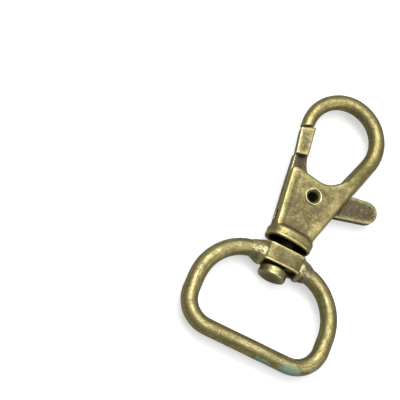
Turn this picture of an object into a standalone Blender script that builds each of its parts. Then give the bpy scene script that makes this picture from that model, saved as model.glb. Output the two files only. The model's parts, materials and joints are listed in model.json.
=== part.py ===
# Swivel trigger snap hook with a D-ring, lying flat: +Y runs along the hook to its top,
# +X is the thumb tab's side and +Z is up through the thickness.
# All sizes are in millimetres; to_metres turns them into Blender's units.

import bmesh
import bpy
import numpy as np
from mathutils import Matrix, Vector

MM = 0.001

# x is measured from the swivel axis and y from a little above the collar, until the end
# of the script moves the whole clasp so that the origin is under the middle of its box.
MID_Z = 3.4

# Hook loop: clear space between two circles and their tangents, with a round arm round it
BIGHT_CENTRE = (0.2, 14.3)
BIGHT_RADIUS = 4.7
CROWN_CENTRE = (0.9, 21.2)
CROWN_RADIUS = 5.95
ARM_RADIUS = 1.67
SHOULDER_DEPTH = 2.4

# Cheeks: a plate that narrows to the collar, slotted for the lever
PLATE_HALF_DEPTH = 2.5
FACE_RECESS = 0.25
SLOT_HALF_WIDTH = 1.2
SLOT_FLOOR_Y = -1.3
NECK_LEFT = -4.45
NECK_RIGHT = 4.0
SHOULDER_LEFT = (-6.2, 10.4)
SHOULDER_RIGHT = (7.4, 12.8)
RIM_FOOT = (3.15, -1.3)
RIM_FOOT_HALF_WIDTH = 1.05

# Collar at the swivel end, hollow underneath
COLLAR_LOW_Y = -4.35
COLLAR_TOP_Y = -1.9
COLLAR_HALF_WIDTH = 4.85
COLLAR_HALF_DEPTH = 3.4
COLLAR_WALL = 0.8
CUP_DEPTH = 1.4

# Rivet that the lever turns on
PIVOT = (0.0, 6.3)
RIVET_RADIUS = 1.2
RIVET_BORE_RADIUS = 0.92
RIVET_LIP_RADIUS = 1.68
RIVET_LIP_HEIGHT = 0.42
RUNNING_GAP = 0.06
SEAT_GAP = 0.04

# Lever: head that closes the nose, web between the cheeks, thumb tab
LEVER_HALF_THICKNESS = 1.0
HEAD_HALF_THICKNESS = 1.55
NOSE_GAP = 0.35
HEAD_OUTER = (-8.05, 18.3)
HEAD_INNER = (-5.35, 19.5)
HEAD_HEEL_OUTER = (-6.8, 12.9)
HEAD_HEEL_INNER = (-4.25, 13.8)
TAB_TIP = (11.6, 9.6)
TAB_RADIUS = 2.25
TAB_ROOT_TOP = (7.2, 10.8)
TAB_ROOT_BOTTOM = (5.0, 5.0)

# Torsion spring round the rivet
SPRING_WIRE_RADIUS = 0.2
SPRING_MEAN_RADIUS = 1.7
SPRING_TURNS = 2.0
SPRING_PITCH = 0.43
SPRING_POCKET_RADIUS = 2.2
SPRING_POCKET_DEPTH = 1.42

# Swivel stud and the eye that turns on it
STUD_HEAD_RADIUS = 2.65
STUD_HEAD_LOW_Y = -11.7
STUD_HEAD_TOP_Y = -9.8
STUD_SHANK_RADIUS = 1.3
STUD_TAIL_RADIUS = 1.9
STUD_TAIL_HEIGHT = 0.9
EYE_LOW_Y = -9.45
EYE_TOP_Y = -5.75
EYE_HALF_WIDTH = 4.4
EYE_HALF_DEPTH = 2.95
EYE_PLAY = 0.2

# D-ring wire, and how far the loose eye lets the ring lean on the stud
WIRE_RADIUS = 1.65
RING_HALF_WIDTH = 15.95
RING_LOW_Y = -27.45
WIRE_START_Y = -7.9
BOW_HEIGHT = 10.2
CORNER_RADIUS = 5.5
WELD_RADIUS = 2.15
RING_LEAN = 3.2


def to_metres(points):
    return [Vector(p) * MM for p in points]


def remove_everything():
    for thing in list(bpy.data.objects):
        bpy.data.objects.remove(thing)


def make_material(name, colour, roughness):
    material = bpy.data.materials.new(name)
    material.use_nodes = True
    shader = material.node_tree.nodes["Principled BSDF"]
    shader.inputs["Base Color"].default_value = (*colour, 1.0)
    shader.inputs["Metallic"].default_value = 1.0
    shader.inputs["Roughness"].default_value = roughness
    return material


def add_object(name, bm):
    """Make an object of a mesh in millimetres, with its faces pointing out."""
    bmesh.ops.remove_doubles(bm, verts=bm.verts, dist=1e-5)
    bmesh.ops.recalc_face_normals(bm, faces=bm.faces)
    bmesh.ops.scale(bm, vec=(MM, MM, MM), verts=bm.verts)
    mesh = bpy.data.meshes.new(name)
    bm.to_mesh(mesh)
    bm.free()
    made = bpy.data.objects.new(name, mesh)
    bpy.context.scene.collection.objects.link(made)
    return made


def prism(name, outline, low_z, high_z):
    """Extrude a closed outline in the XY plane between two heights."""
    bm = bmesh.new()
    floor = [bm.verts.new((x, y, low_z)) for x, y in outline]
    face = bm.faces.new(floor)
    grown = bmesh.ops.extrude_face_region(bm, geom=[face])
    top = [v for v in grown["geom"] if isinstance(v, bmesh.types.BMVert)]
    bmesh.ops.translate(bm, vec=(0, 0, high_z - low_z), verts=top)
    return add_object(name, bm)


def stack(name, sections):
    """Join closed rings of points, one after another, and cap both ends."""
    bm = bmesh.new()
    rings = [[bm.verts.new(p) for p in section] for section in sections]
    for low, high in zip(rings, rings[1:]):
        count = len(low)
        for i in range(count):
            j = (i + 1) % count
            bm.faces.new((low[i], low[j], high[j], high[i]))
    bm.faces.new(rings[0])
    bm.faces.new(list(reversed(rings[-1])))
    return add_object(name, bm)


def sweep(name, path, half_widths, half_depths, sides):
    """Sweep an ellipse along a path that lies in the mid plane."""
    path = np.array(path)
    tangents = np.gradient(path, axis=0)
    tangents /= np.linalg.norm(tangents, axis=1)[:, None]
    turns = np.linspace(0, 2 * np.pi, sides, endpoint=False)
    sections = []
    for (x, y), (tx, ty), wide, deep in zip(path, tangents, half_widths, half_depths):
        section = [
            (x + ty * wide * np.cos(a), y - tx * wide * np.cos(a), MID_Z + deep * np.sin(a))
            for a in turns
        ]
        sections.append(section)
    return stack(name, sections)


def ovals(sections, sides, squareness):
    """Superellipse rings round the Y axis, from (y, half width, half depth) rows."""
    turns = np.linspace(0, 2 * np.pi, sides, endpoint=False)
    power = 2 / squareness
    rings = []
    for y, wide, deep in sections:
        ring = []
        for a in turns:
            c, s = np.cos(a), np.sin(a)
            x = wide * np.sign(c) * abs(c) ** power
            z = deep * np.sign(s) * abs(s) ** power
            ring.append((x, y, MID_Z + z))
        rings.append(ring)
    return rings


def rod(name, radius, low_y, high_y, sides=32):
    """A round bar along the swivel axis."""
    rows = [(low_y, radius, radius), (high_y, radius, radius)]
    return stack(name, ovals(rows, sides, 2))


def pin_cutter(radius, low_z, high_z, sides=32):
    """A round bar through the thickness, on the lever's pivot."""
    turns = np.linspace(0, 2 * np.pi, sides, endpoint=False)
    outline = [(PIVOT[0] + radius * np.cos(a), PIVOT[1] + radius * np.sin(a)) for a in turns]
    return prism("pin_cutter", outline, low_z, high_z)


def combine(target, other, operation):
    """Apply an exact Boolean and take the second object away."""
    step = target.modifiers.new("step", "BOOLEAN")
    step.operation = operation
    step.solver = "EXACT"
    step.object = other
    graph = bpy.context.evaluated_depsgraph_get()
    mesh = bpy.data.meshes.new_from_object(target.evaluated_get(graph))
    target.modifiers.clear()
    target.data = mesh
    bpy.data.objects.remove(other)


def soften(target, width, segments):
    """Bevel the sharp edges."""
    bevel = target.modifiers.new("soften", "BEVEL")
    bevel.width = width * MM
    bevel.segments = segments
    bevel.limit_method = "ANGLE"
    bevel.angle_limit = np.radians(50)
    graph = bpy.context.evaluated_depsgraph_get()
    mesh = bpy.data.meshes.new_from_object(target.evaluated_get(graph))
    target.modifiers.clear()
    target.data = mesh


def finish(made, material, pivot=None):
    """Give the material and smooth shading, and put the origin on the joint's axis."""
    made.data.materials.clear()
    made.data.materials.append(material)
    made.data.shade_smooth()
    made.data.set_sharp_from_angle(angle=np.radians(35))
    if pivot:
        centre = Vector(pivot) * MM
        made.data.transform(Matrix.Translation(-centre))
        made.location = centre
    return made


def arc(centre, radius, start, end, count):
    """Points on a circle between two angles in degrees."""
    turns = np.radians(np.linspace(start, end, count))
    return [(centre[0] + radius * np.cos(a), centre[1] + radius * np.sin(a)) for a in turns]


def tangent_angles():
    """Directions in degrees of the normals to the two sides that join bight and crown."""
    run = np.subtract(CROWN_CENTRE, BIGHT_CENTRE)
    along = np.degrees(np.arctan2(run[1], run[0]))
    flare = np.degrees(np.arcsin((CROWN_RADIUS - BIGHT_RADIUS) / np.hypot(*run)))
    return along - 90 - flare, along + 90 + flare


def loop_point(angle, offset, in_bight=False):
    """The point of the loop's clear outline with this normal, moved outwards."""
    centre = BIGHT_CENTRE if in_bight else CROWN_CENTRE
    radius = (BIGHT_RADIUS if in_bight else CROWN_RADIUS) + offset
    a = np.radians(angle)
    return np.array((centre[0] + radius * np.cos(a), centre[1] + radius * np.sin(a)))


def make_arm():
    """The round arm: up the right rim, over the crown and down to the nose."""
    right, left = tangent_angles()
    shoulder = loop_point(right, ARM_RADIUS, True)
    crown = loop_point(right, ARM_RADIUS)
    nose_side = loop_point(left, ARM_RADIUS)
    gate_side = loop_point(left, ARM_RADIUS, True)
    foot = np.array(RIM_FOOT)
    rows = []
    for share in np.linspace(0, 1, 8)[:-1]:
        wide = RIM_FOOT_HALF_WIDTH + (1.5 - RIM_FOOT_HALF_WIDTH) * share
        rows.append((*(foot + (shoulder - foot) * share), wide, SHOULDER_DEPTH))
    for share in np.linspace(0, 1, 7)[:-1]:
        ease = share * share * (3 - 2 * share)
        deep = SHOULDER_DEPTH + (ARM_RADIUS - SHOULDER_DEPTH) * ease
        wide = 1.5 + (ARM_RADIUS - 1.5) * ease
        rows.append((*(shoulder + (crown - shoulder) * share), wide, deep))
    for angle in np.linspace(right, left, 33):
        rows.append((*loop_point(angle, ARM_RADIUS), ARM_RADIUS, ARM_RADIUS))
    for share in (0.15, 0.3, 0.45):
        rows.append((*(nose_side + (gate_side - nose_side) * share), ARM_RADIUS, ARM_RADIUS))
    rows = np.array(rows)
    return sweep("arm", rows[:, :2], rows[:, 2], rows[:, 3], 20)


def make_hook_body(material):
    right, _ = tangent_angles()
    bight = [loop_point(angle, 0.0, True) for angle in np.linspace(right, -98, 14)]
    corner = (SHOULDER_LEFT[0] + 1.0, SHOULDER_LEFT[1] - 0.95)
    outline = [
        (NECK_LEFT, COLLAR_TOP_Y - 0.5),
        (NECK_RIGHT, COLLAR_TOP_Y - 0.5),
        SHOULDER_RIGHT,
    ]
    outline += bight
    outline += arc(corner, 0.95, 80, 172, 6)
    body = prism("hook_body", outline, MID_Z - PLATE_HALF_DEPTH, MID_Z + PLATE_HALF_DEPTH)
    soften(body, 0.55, 3)

    recess = [
        (-3.1, COLLAR_TOP_Y + 0.35),
        (2.1, COLLAR_TOP_Y + 0.35),
        (4.0, 7.6),
        (3.2, 8.7),
        (-3.6, 8.9),
        (-4.6, 8.1),
    ]
    outer = MID_Z + PLATE_HALF_DEPTH
    inner = MID_Z - PLATE_HALF_DEPTH
    combine(body, make_arm(), "UNION")
    combine(body, prism("front_recess", recess, outer - FACE_RECESS, outer + 1), "DIFFERENCE")
    combine(body, prism("back_recess", recess, inner - 1, inner + FACE_RECESS), "DIFFERENCE")

    collar_rows = [
        (COLLAR_LOW_Y, COLLAR_HALF_WIDTH - 0.35, COLLAR_HALF_DEPTH - 0.35),
        (COLLAR_LOW_Y + 0.15, COLLAR_HALF_WIDTH - 0.1, COLLAR_HALF_DEPTH - 0.1),
        (COLLAR_LOW_Y + 0.45, COLLAR_HALF_WIDTH, COLLAR_HALF_DEPTH),
        (COLLAR_TOP_Y - 0.6, COLLAR_HALF_WIDTH, COLLAR_HALF_DEPTH),
        (COLLAR_TOP_Y - 0.2, COLLAR_HALF_WIDTH - 0.15, COLLAR_HALF_DEPTH - 0.15),
        (COLLAR_TOP_Y, COLLAR_HALF_WIDTH - 0.5, COLLAR_HALF_DEPTH - 0.5),
    ]
    combine(body, stack("collar", ovals(collar_rows, 40, 2.8)), "UNION")
    cup_wide = COLLAR_HALF_WIDTH - COLLAR_WALL
    cup_deep = COLLAR_HALF_DEPTH - COLLAR_WALL
    cup_rows = [(COLLAR_LOW_Y - 1, cup_wide, cup_deep), (COLLAR_LOW_Y + CUP_DEPTH, cup_wide, cup_deep)]
    combine(body, stack("cup", ovals(cup_rows, 32, 2.6)), "DIFFERENCE")

    slot_low = MID_Z - SLOT_HALF_WIDTH
    slot_high = MID_Z + SLOT_HALF_WIDTH
    nose_reach = np.hypot(HEAD_OUTER[0] - PIVOT[0], HEAD_OUTER[1] - PIVOT[1]) + NOSE_GAP
    slot = [(-12, SLOT_FLOOR_Y), (12, SLOT_FLOOR_Y), (12, 11.5), (3.2, 11.5)]
    slot += arc(PIVOT, nose_reach, 100, 125, 8)
    combine(body, prism("slot", slot, slot_low, slot_high), "DIFFERENCE")
    nose = arc(PIVOT, nose_reach, 108, 135, 12)
    nose += [(-10.5, 13.0), (-7.2, 12.5), (-4.0, 14.0)]
    combine(body, prism("nose_cut", nose, MID_Z - 4, MID_Z + 4), "DIFFERENCE")
    combine(body, pin_cutter(RIVET_RADIUS + SEAT_GAP, -1, 9), "DIFFERENCE")
    combine(body, rod("bore", STUD_SHANK_RADIUS + SEAT_GAP, COLLAR_LOW_Y, 0.0), "DIFFERENCE")
    tail_top = SLOT_FLOOR_Y + STUD_TAIL_HEIGHT + 0.3
    combine(body, rod("tail_room", STUD_TAIL_RADIUS + 0.1, SLOT_FLOOR_Y, tail_top), "DIFFERENCE")
    return finish(body, material)


def make_gate_lever(material):
    web = [
        HEAD_HEEL_OUTER,
        (-4.85, 1.4),
        (-3.8, 1.1),
        (-2.3, 3.3),
        (0.6, 3.2),
        TAB_ROOT_BOTTOM,
    ]
    web += arc(TAB_TIP, TAB_RADIUS, -72, 104, 14)
    web += [TAB_ROOT_TOP, (3.2, 9.5), (0.0, 9.4), (-2.4, 10.3), (-3.4, 11.8), HEAD_HEEL_INNER, (-5.4, 15.0)]
    low = MID_Z - LEVER_HALF_THICKNESS
    high = MID_Z + LEVER_HALF_THICKNESS
    lever = prism("gate_lever", web, low, high)
    soften(lever, 0.2, 2)
    head = [HEAD_OUTER, HEAD_HEEL_OUTER, HEAD_HEEL_INNER, HEAD_INNER]
    block = prism("head", head, MID_Z - HEAD_HALF_THICKNESS, MID_Z + HEAD_HALF_THICKNESS)
    soften(block, 0.45, 3)
    combine(lever, block, "UNION")
    combine(lever, pin_cutter(RIVET_RADIUS + RUNNING_GAP, -1, 9), "DIFFERENCE")
    combine(lever, pin_cutter(SPRING_POCKET_RADIUS, low - 1, low + SPRING_POCKET_DEPTH), "DIFFERENCE")
    notch = [(-2.1, 6.2), (-3.3, 0.0), (1.8, 0.0), (2.0, 5.0)]
    combine(lever, prism("notch", notch, low - 1, low + SPRING_POCKET_DEPTH), "DIFFERENCE")
    return finish(lever, material, (*PIVOT, MID_Z))


def make_gate_spring(material):
    """Two close turns round the rivet and a leg down to the slot's floor."""
    start = MID_Z - LEVER_HALF_THICKNESS + SPRING_WIRE_RADIUS + 0.05
    foot_x = PIVOT[0] - SPRING_MEAN_RADIUS
    points = [Vector((foot_x + 0.2, SLOT_FLOOR_Y + STUD_TAIL_HEIGHT + 0.4, start)), Vector((foot_x, 3.0, start))]
    steps = 20
    for i in range(int(SPRING_TURNS * steps) + 1):
        a = np.pi - i * 2 * np.pi / steps
        x = PIVOT[0] + SPRING_MEAN_RADIUS * np.cos(a)
        y = PIVOT[1] + SPRING_MEAN_RADIUS * np.sin(a)
        points.append(Vector((x, y, start + SPRING_PITCH * i / steps)))
    curve = bpy.data.curves.new("gate_spring", "CURVE")
    curve.dimensions = "3D"
    curve.bevel_depth = SPRING_WIRE_RADIUS * MM
    curve.bevel_resolution = 1
    curve.use_fill_caps = True
    spline = curve.splines.new("POLY")
    spline.points.add(len(points) - 1)
    for place, point in zip(spline.points, to_metres(points)):
        place.co = (*point, 1.0)
    made = bpy.data.objects.new("gate_spring", curve)
    bpy.context.scene.collection.objects.link(made)
    curve.materials.append(material)
    return made


def make_pivot_rivet(material):
    """A tube through both cheeks, rolled over into a round lip at each end."""
    face = PLATE_HALF_DEPTH - FACE_RECESS + SEAT_GAP
    lip_mid = (RIVET_LIP_RADIUS + RIVET_BORE_RADIUS) / 2
    top = face + RIVET_LIP_HEIGHT
    half = [
        (RIVET_BORE_RADIUS, 0.0),
        (RIVET_BORE_RADIUS, face),
        (RIVET_BORE_RADIUS + 0.12, top - 0.08),
        (lip_mid, top),
        (RIVET_LIP_RADIUS - 0.08, top - 0.12),
        (RIVET_LIP_RADIUS, face + 0.1),
        (RIVET_LIP_RADIUS - 0.06, face),
        (RIVET_RADIUS, face),
    ]
    profile = half + [(r, -z) for r, z in reversed(half[1:])]
    turns = np.linspace(0, 2 * np.pi, 32, endpoint=False)
    bm = bmesh.new()
    rings = []
    for a in turns:
        x = np.cos(a)
        y = np.sin(a)
        rings.append([bm.verts.new((PIVOT[0] + r * x, PIVOT[1] + r * y, MID_Z + z)) for r, z in profile])
    count = len(profile)
    for here, there in zip(rings, rings[1:] + rings[:1]):
        for i in range(count):
            j = (i + 1) % count
            bm.faces.new((here[i], here[j], there[j], there[i]))
    return finish(add_object("pivot_rivet", bm), material)


def make_swivel_stud(material):
    tail_low = SLOT_FLOOR_Y + SEAT_GAP
    rows = [
        (STUD_HEAD_LOW_Y, STUD_HEAD_RADIUS - 0.3),
        (STUD_HEAD_LOW_Y + 0.1, STUD_HEAD_RADIUS - 0.08),
        (STUD_HEAD_LOW_Y + 0.3, STUD_HEAD_RADIUS),
        (STUD_HEAD_TOP_Y - 0.2, STUD_HEAD_RADIUS),
        (STUD_HEAD_TOP_Y, STUD_HEAD_RADIUS - 0.15),
        (STUD_HEAD_TOP_Y, STUD_SHANK_RADIUS),
        (tail_low, STUD_SHANK_RADIUS),
        (tail_low, STUD_TAIL_RADIUS),
        (tail_low + STUD_TAIL_HEIGHT - 0.3, STUD_TAIL_RADIUS),
        (tail_low + STUD_TAIL_HEIGHT, STUD_TAIL_RADIUS - 0.5),
    ]
    rings = ovals([(y, r, r) for y, r in rows], 36, 2)
    return finish(stack("swivel_stud", rings), material)


def make_swivel_eye():
    """The barrel that turns on the stud, a little waisted between its rims."""
    middle = (EYE_LOW_Y + EYE_TOP_Y) / 2
    rows = [
        (EYE_LOW_Y, EYE_HALF_WIDTH - 0.35, EYE_HALF_DEPTH - 0.35),
        (EYE_LOW_Y + 0.35, EYE_HALF_WIDTH, EYE_HALF_DEPTH),
        (middle, EYE_HALF_WIDTH - 0.2, EYE_HALF_DEPTH - 0.2),
        (EYE_TOP_Y - 0.35, EYE_HALF_WIDTH, EYE_HALF_DEPTH),
        (EYE_TOP_Y, EYE_HALF_WIDTH - 0.35, EYE_HALF_DEPTH - 0.35),
    ]
    eye = stack("swivel_eye", ovals(rows, 40, 2.6))
    bore = rod("bore", STUD_SHANK_RADIUS + EYE_PLAY, EYE_LOW_Y - 1, EYE_TOP_Y + 1)
    combine(eye, bore, "DIFFERENCE")
    return eye


def ring_path():
    """Half of the D, from the eye's right side out, down and in to the bar's middle."""
    half_width = RING_HALF_WIDTH - WIRE_RADIUS
    start_x = EYE_HALF_WIDTH + 0.1
    bow_centre_y = WIRE_START_Y - BOW_HEIGHT
    bar_centre_y = RING_LOW_Y + WIRE_RADIUS
    half = []
    for a in np.radians(np.linspace(90, 0, 18)):
        x = start_x + (half_width - start_x) * np.cos(a)
        y = bow_centre_y + BOW_HEIGHT * np.sin(a)
        half.append((x, y))
    corner = (half_width - CORNER_RADIUS, bar_centre_y + CORNER_RADIUS)
    half += arc(corner, CORNER_RADIUS, 0, -90, 12)
    return half


def make_ring_wire():
    half = ring_path()
    path = half + [(-x, y) for x, y in reversed(half)]
    same = [WIRE_RADIUS] * len(path)
    return sweep("ring_wire", path, same, same, 18)


def weld_cutter(grow):
    """The wire's end and the eye, a little larger, to clear the bead round them."""
    half = ring_path()[:8]
    radii = [WIRE_RADIUS + grow] * len(half)
    return sweep("weld_cutter", half, radii, radii, 18)


def make_weld(name, side, eye):
    """A lumpy bead where the wire's end meets the eye."""
    x = EYE_HALF_WIDTH + 0.35
    rows = [
        (x - 1.0, WELD_RADIUS - 0.55),
        (x - 0.5, WELD_RADIUS - 0.1),
        (x, WELD_RADIUS),
        (x + 0.6, WELD_RADIUS - 0.25),
        (x + 1.1, WIRE_RADIUS + 0.12),
    ]
    turns = np.linspace(0, 2 * np.pi, 24, endpoint=False)
    rings = []
    for place, radius in rows:
        lump = [radius * (1 + 0.05 * np.cos(3 * a + side)) for a in turns]
        droop = 0.12 * (place - x)
        rings.append([
            (side * place, WIRE_START_Y - droop + r * np.sin(a), MID_Z + r * np.cos(a))
            for r, a in zip(lump, turns)
        ])
    bead = stack(name, rings)
    wire = weld_cutter(SEAT_GAP)
    if side < 0:
        wire.data.transform(Matrix.Scale(-1, 4, (1, 0, 0)))
        wire.data.flip_normals()
    combine(bead, wire, "DIFFERENCE")
    room = eye.copy()
    room.data = eye.data.copy()
    bpy.context.scene.collection.objects.link(room)
    grow = 1 + 2 * SEAT_GAP / EYE_HALF_DEPTH
    centre = Vector((0, (EYE_LOW_Y + EYE_TOP_Y) / 2, MID_Z)) * MM
    room.data.transform(Matrix.Translation(centre) @ Matrix.Scale(grow, 4) @ Matrix.Translation(-centre))
    combine(bead, room, "DIFFERENCE")
    return bead


def make_ring(material):
    """Eye, wire and weld beads, leaning together on the stud."""
    eye = make_swivel_eye()
    pieces = [make_ring_wire(), make_weld("weld_left", -1, eye), make_weld("weld_right", 1, eye), eye]
    middle = (0, (EYE_LOW_Y + EYE_TOP_Y) / 2, MID_Z)
    centre = Vector(middle) * MM
    lean = Matrix.Rotation(np.radians(RING_LEAN), 4, "Z")
    for piece in pieces:
        piece.data.transform(Matrix.Translation(centre) @ lean @ Matrix.Translation(-centre))
        finish(piece, material, middle)


def move_origin_under_middle():
    """Shift every piece so that the origin is below the middle of the clasp's box."""
    corners = []
    bpy.context.view_layer.update()
    for made in bpy.context.scene.objects:
        corners += [made.matrix_world @ Vector(corner) for corner in made.bound_box]
    corners = np.array(corners)
    low = corners.min(axis=0)
    high = corners.max(axis=0)
    shift = Vector(((low[0] + high[0]) / 2, (low[1] + high[1]) / 2, low[2]))
    for made in bpy.context.scene.objects:
        made.location -= shift
    print("moved by", [round(-value / MM, 4) for value in shift])


def main():
    remove_everything()
    cast = make_material("cast_antique_brass", (0.42, 0.36, 0.19), 0.38)
    lever_cast = make_material("lever_antique_brass", (0.40, 0.34, 0.18), 0.4)
    wire_brass = make_material("wire_antique_brass", (0.44, 0.38, 0.20), 0.35)
    rivet_brass = make_material("rivet_brass", (0.62, 0.56, 0.38), 0.3)
    spring_steel = make_material("spring_steel", (0.45, 0.45, 0.45), 0.35)
    make_hook_body(cast)
    make_gate_lever(lever_cast)
    make_gate_spring(spring_steel)
    make_pivot_rivet(rivet_brass)
    make_swivel_stud(rivet_brass)
    make_ring(wire_brass)
    move_origin_under_middle()


main()
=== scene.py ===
import json
import math

import bpy
import numpy as np
from mathutils import Matrix, Vector


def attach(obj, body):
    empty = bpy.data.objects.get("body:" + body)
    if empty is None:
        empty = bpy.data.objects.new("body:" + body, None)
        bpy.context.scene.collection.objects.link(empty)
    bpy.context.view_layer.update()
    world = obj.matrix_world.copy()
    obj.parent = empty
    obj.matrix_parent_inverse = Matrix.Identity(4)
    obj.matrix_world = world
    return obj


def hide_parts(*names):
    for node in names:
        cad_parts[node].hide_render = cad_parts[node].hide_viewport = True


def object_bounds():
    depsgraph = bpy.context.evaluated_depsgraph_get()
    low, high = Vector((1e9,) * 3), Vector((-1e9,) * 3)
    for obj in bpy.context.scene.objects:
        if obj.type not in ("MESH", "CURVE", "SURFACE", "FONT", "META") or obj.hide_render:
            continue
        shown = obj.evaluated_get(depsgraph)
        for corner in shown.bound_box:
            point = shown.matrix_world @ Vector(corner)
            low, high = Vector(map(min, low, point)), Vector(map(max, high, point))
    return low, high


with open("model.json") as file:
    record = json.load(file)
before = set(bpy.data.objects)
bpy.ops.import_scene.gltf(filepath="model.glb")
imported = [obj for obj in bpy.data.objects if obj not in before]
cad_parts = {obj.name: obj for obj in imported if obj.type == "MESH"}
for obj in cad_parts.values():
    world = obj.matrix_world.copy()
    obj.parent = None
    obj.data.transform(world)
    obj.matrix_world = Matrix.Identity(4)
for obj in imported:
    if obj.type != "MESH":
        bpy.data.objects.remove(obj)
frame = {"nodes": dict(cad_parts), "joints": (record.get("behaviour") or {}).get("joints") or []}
cadLow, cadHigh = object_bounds()
print("frame loaded:", len(frame["nodes"]), "nodes")

metre = 1000.0  # millimetres in a metre
joints = {joint["name"]: joint for joint in frame["joints"]}
# middle of the rivet, half way through the thickness
rivetAxis = Vector(joints["gate_hinge"]["pos_m"]) * metre
eyeMiddle = Vector(joints["ring_swivel"]["pos_m"]) * metre
pivot = (0.0, 6.3)
# x from the swivel axis, y so that the rivet stands at pivot, z from mid thickness
zero = rivetAxis - Vector((pivot[0], pivot[1], 0.0))


# Working helpers
def at(x, y, z=0.0):
    return zero + Vector((x, y, z))


def clearSelection():
    if bpy.context.mode != "OBJECT":
        bpy.ops.object.mode_set(mode="OBJECT")
    bpy.ops.object.select_all(action="DESELECT")


def pick(piece):
    clearSelection()
    piece.select_set(True)
    bpy.context.view_layer.objects.active = piece


def named(name):
    piece = bpy.context.active_object
    piece.name = name
    piece.data.name = name
    return piece


def closeUp(piece):  # merge doubles and turn the faces outwards
    pick(piece)
    bpy.ops.object.mode_set(mode="EDIT")
    bpy.ops.mesh.select_all(action="SELECT")
    bpy.ops.mesh.remove_doubles(threshold=0.001)
    bpy.ops.mesh.normals_make_consistent(inside=False)
    bpy.ops.object.mode_set(mode="OBJECT")


def applyModifier(piece, label, kind, **settings):
    pick(piece)
    step = piece.modifiers.new(label, kind)
    for key, value in settings.items():
        setattr(step, key, value)
    bpy.ops.object.modifier_apply(modifier=step.name)


def roundEdges(piece, width, steps=3, sharpFrom=40):
    applyModifier(
        piece, "roundEdges", "BEVEL", width=width, segments=steps,
        limit_method="ANGLE", angle_limit=math.radians(sharpFrom),
    )


def slab(name, outline, lowZ, highZ, edge=0.0, steps=3):
    # a filled circle with a corner for each outline point, pulled up into a plate
    clearSelection()
    bpy.ops.mesh.primitive_circle_add(vertices=len(outline), radius=1, fill_type="NGON")
    piece = named(name)
    for corner, (x, y) in zip(piece.data.vertices, outline):
        corner.co = at(x, y, lowZ)
    bpy.ops.object.mode_set(mode="EDIT")
    bpy.ops.mesh.select_all(action="SELECT")
    bpy.ops.mesh.extrude_region_move(TRANSFORM_OT_translate={"value": (0, 0, highZ - lowZ)})
    closeUp(piece)
    if edge:
        roundEdges(piece, edge, steps)
    return piece


def turned(name, rows, sides=56, squareness=2.0, axis="Y"):
    # an oval disc, then one extrude and one resize for each (place, half width, half depth) row
    clearSelection()
    bpy.ops.mesh.primitive_circle_add(vertices=sides, radius=1, fill_type="NGON")
    piece = named(name)
    place, wide, deep = rows[0]
    power = 2 / squareness
    for i, corner in enumerate(piece.data.vertices):
        turn = 2 * math.pi * i / sides
        c, s = math.cos(turn), math.sin(turn)
        c = math.copysign(abs(c) ** power, c) * wide
        s = math.copysign(abs(s) ** power, s) * deep
        corner.co = at(c, place, s) if axis == "Y" else at(pivot[0] + c, pivot[1] + s, place)
    bpy.ops.object.mode_set(mode="EDIT")
    bpy.ops.mesh.select_all(action="SELECT")
    for (place, wide, deep), (nextPlace, nextWide, nextDeep) in zip(rows, rows[1:]):
        step = nextPlace - place
        along = (0, step, 0) if axis == "Y" else (0, 0, step)
        centre = at(0, nextPlace) if axis == "Y" else at(*pivot, nextPlace)
        wider, deeper = nextWide / wide, nextDeep / deep
        stretch = (wider, 1, deeper) if axis == "Y" else (wider, deeper, 1)
        bpy.ops.mesh.extrude_region_move(TRANSFORM_OT_translate={"value": along})
        bpy.ops.transform.resize(value=stretch, center_override=centre)
    closeUp(piece)
    return piece


def spunRing(name, profile, steps=72):
    # a closed profile of (radius, height) points spun round the rivet's axis
    clearSelection()
    bpy.ops.mesh.primitive_circle_add(vertices=len(profile), radius=1, fill_type="NOTHING")
    piece = named(name)
    for corner, (radius, height) in zip(piece.data.vertices, profile):
        corner.co = at(pivot[0] + radius, pivot[1], height)
    bpy.ops.object.mode_set(mode="EDIT")
    bpy.ops.mesh.select_all(action="SELECT")
    bpy.ops.mesh.spin(steps=steps, angle=2 * math.pi, center=rivetAxis, axis=(0, 0, 1))
    closeUp(piece)
    return piece


def bentBar(name, path, radii, roundness=8):
    # a curve with a round bevel, a radius at each point, made a mesh
    clearSelection()
    bpy.ops.curve.primitive_nurbs_path_add()
    bar = named(name)
    line = bar.data
    line.splines.clear()
    spline = line.splines.new("POLY")
    spline.points.add(len(path) - 1)
    for knot, place, radius in zip(spline.points, path, radii):
        knot.co = (*at(*place), 1)
        knot.radius = radius
    line.bevel_depth = 1
    line.bevel_resolution = roundness
    line.use_fill_caps = True
    line.twist_mode = "Z_UP"
    bpy.ops.object.convert(target="MESH")
    closeUp(bar)
    return bar


def joinAll(piece, others):
    pick(piece)
    for other in others:
        other.select_set(True)
    bpy.ops.object.join()
    return piece


def cut(piece, cutter):
    applyModifier(piece, "cut", "BOOLEAN", operation="DIFFERENCE", solver="EXACT", object=cutter)
    bpy.data.objects.remove(cutter)


def melt(piece, grain, softening):
    # an even skin of small faces, smoothed so that corners run into each other as in a casting
    applyModifier(piece, "skin", "REMESH", mode="VOXEL", voxel_size=grain, use_smooth_shade=True)
    if softening:
        applyModifier(piece, "soften", "SMOOTH", factor=0.5, iterations=softening)


def roughenShape(piece, size, strength):
    # slow unevenness that bends the reflections
    waves = bpy.data.textures.new(piece.name + "Waves", "CLOUDS")
    waves.noise_scale = size
    waves.noise_depth = 2
    applyModifier(
        piece, "uneven", "DISPLACE", texture=waves, strength=strength, mid_level=0.5, texture_coords="LOCAL",
    )


def spread(values, ends, rounds):
    # share a value with the neighbours, a few times over
    first, second = ends
    ties = np.bincount(first, minlength=len(values)) + np.bincount(second, minlength=len(values))
    for _ in range(rounds):
        total = np.bincount(first, values[second], len(values))
        total += np.bincount(second, values[first], len(values))
        values = (values + total / np.maximum(ties, 1)) / 2
    return values


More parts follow.
